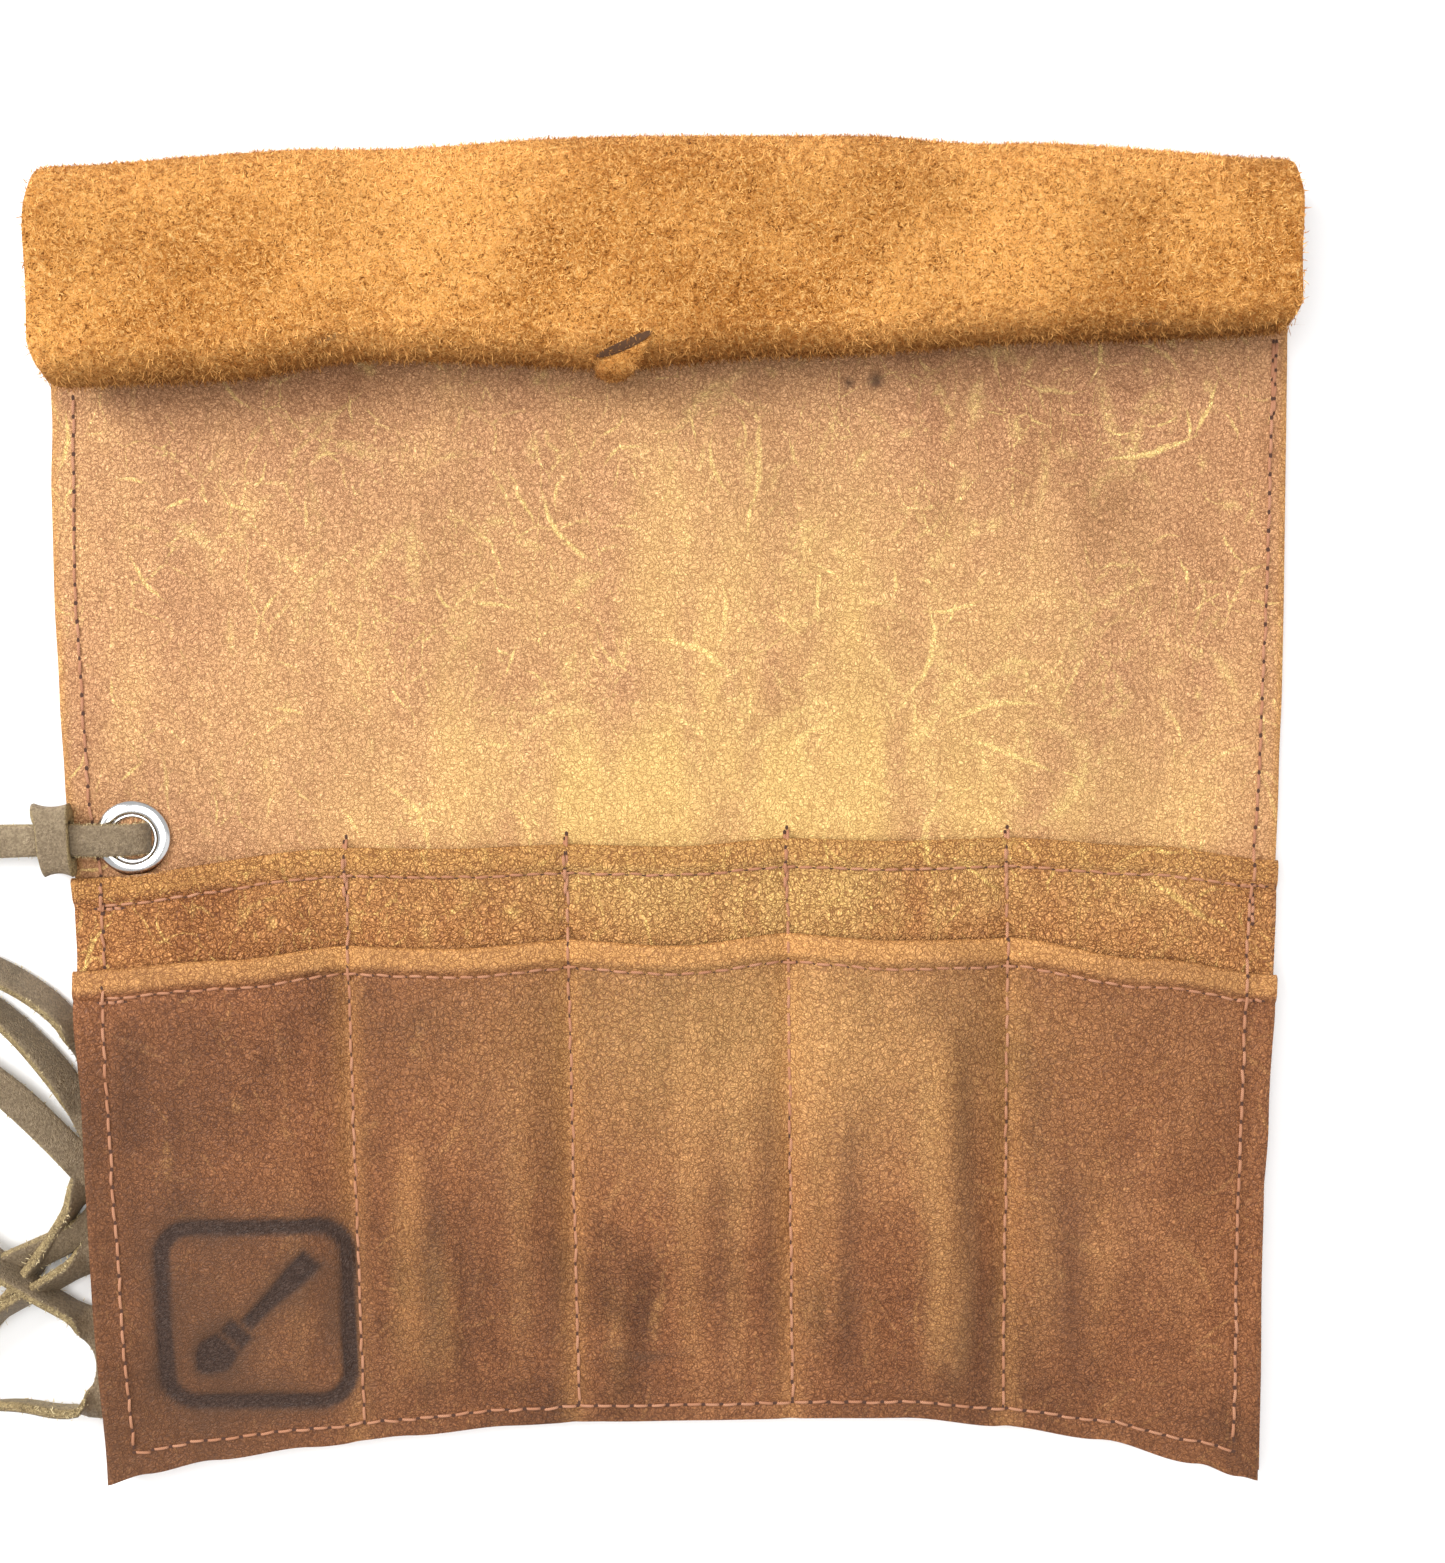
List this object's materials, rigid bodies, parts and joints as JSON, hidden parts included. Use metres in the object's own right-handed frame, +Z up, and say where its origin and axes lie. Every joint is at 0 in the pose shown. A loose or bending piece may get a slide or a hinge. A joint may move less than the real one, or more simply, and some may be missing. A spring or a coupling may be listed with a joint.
{
  "type": "brush roll case",
  "caption": "Leather brush roll with two tiers of open pockets, a suede-faced flap that rolls over the brushes, an eyelet and a flat leather lace.",
  "frame": {"origin": "on the table under the middle of the case, lace left out", "axes": "+X to the right along the roll, +Y from the pockets to the flap, +Z up"},
  "size_m": [0.4015, 0.322, 0.0237],
  "materials": {
    "grain_leather": "oiled pull-up leather, tan with pale scratches",
    "pocket_leather": "oiled pull-up leather, darker brown",
    "pebbled_leather": "oiled leather with a pebbled grain",
    "cover_leather": "oiled leather, outside of the case",
    "suede_leather": "fibrous flesh side, orange brown",
    "lace_leather": "olive taupe lace with suede edges",
    "thread": "waxed sewing thread",
    "nickel": "bright nickel plate"
  },
  "bodies": {
    "case": {"back_hem_thread": "thread", "back_pocket_panel": "pebbled_leather", "body_panel": "grain_leather", "bottom_seam_thread": "thread", "divider_thread_1": "thread", "divider_thread_2": "thread", "divider_thread_3": "thread", "divider_thread_4": "thread", "eyelet_ring": "nickel", "eyelet_washer": "nickel", "front_hem_thread": "thread", "front_pocket_panel": "pocket_leather", "lace_coil": "lace_leather", "lace_loop": "lace_leather", "lace_run": "lace_leather", "left_seam_thread": "thread", "outer_cover": "cover_leather", "right_seam_thread": "thread"},
    "strip_1": {"flap_strip_1": "suede_leather"},
    "strip_2": {"flap_strip_2": "suede_leather"},
    "strip_3": {"flap_strip_3": "suede_leather"},
    "strip_4": {"flap_strip_4": "suede_leather"},
    "strip_5": {"flap_strip_5": "suede_leather"},
    "strip_6": {"flap_strip_6": "suede_leather"},
    "keeper": {"lace_keeper": "lace_leather"}
  },
  "joints": [
    {"name": "flap_unroll", "type": "hinge", "parent": "case", "child": "strip_1", "pos_m": [0, 0.15, 0.0017], "axis": [-1, 0, 0], "range_deg": [0, 25]},
    {"name": "flap_unroll_2", "type": "hinge", "parent": "strip_1", "child": "strip_2", "pos_m": [0, 0.161, 0.0127], "axis": [-1, 0, 0], "range_deg": [0, 85]},
    {"name": "flap_unroll_3", "type": "hinge", "parent": "strip_2", "child": "strip_3", "pos_m": [0, 0.15, 0.0237], "axis": [-1, 0, 0], "range_deg": [0, 45]},
    {"name": "flap_unroll_4", "type": "hinge", "parent": "strip_3", "child": "strip_4", "pos_m": [0, 0.121, 0.0237], "axis": [-1, 0, 0], "range_deg": [0, 45]},
    {"name": "flap_unroll_5", "type": "hinge", "parent": "strip_4", "child": "strip_5", "pos_m": [0, 0.1126, 0.0153], "axis": [-1, 0, 0], "range_deg": [0, 85]},
    {"name": "flap_unroll_6", "type": "hinge", "parent": "strip_5", "child": "strip_6", "pos_m": [0, 0.121, 0.0069], "axis": [-1, 0, 0], "range_deg": [0, 40]},
    {"name": "keeper_slide", "type": "slide", "parent": "case", "child": "keeper", "axis": [-1, 0, 0], "range_m": [0, 0.012]}
  ],
  "couplings": [
    {"joint": "flap_unroll_2", "follows": "flap_unroll", "ratio": 3.4},
    {"joint": "flap_unroll_3", "follows": "flap_unroll", "ratio": 1.8},
    {"joint": "flap_unroll_4", "follows": "flap_unroll", "ratio": 1.8},
    {"joint": "flap_unroll_5", "follows": "flap_unroll", "ratio": 3.4},
    {"joint": "flap_unroll_6", "follows": "flap_unroll", "ratio": 1.6}
  ]
}
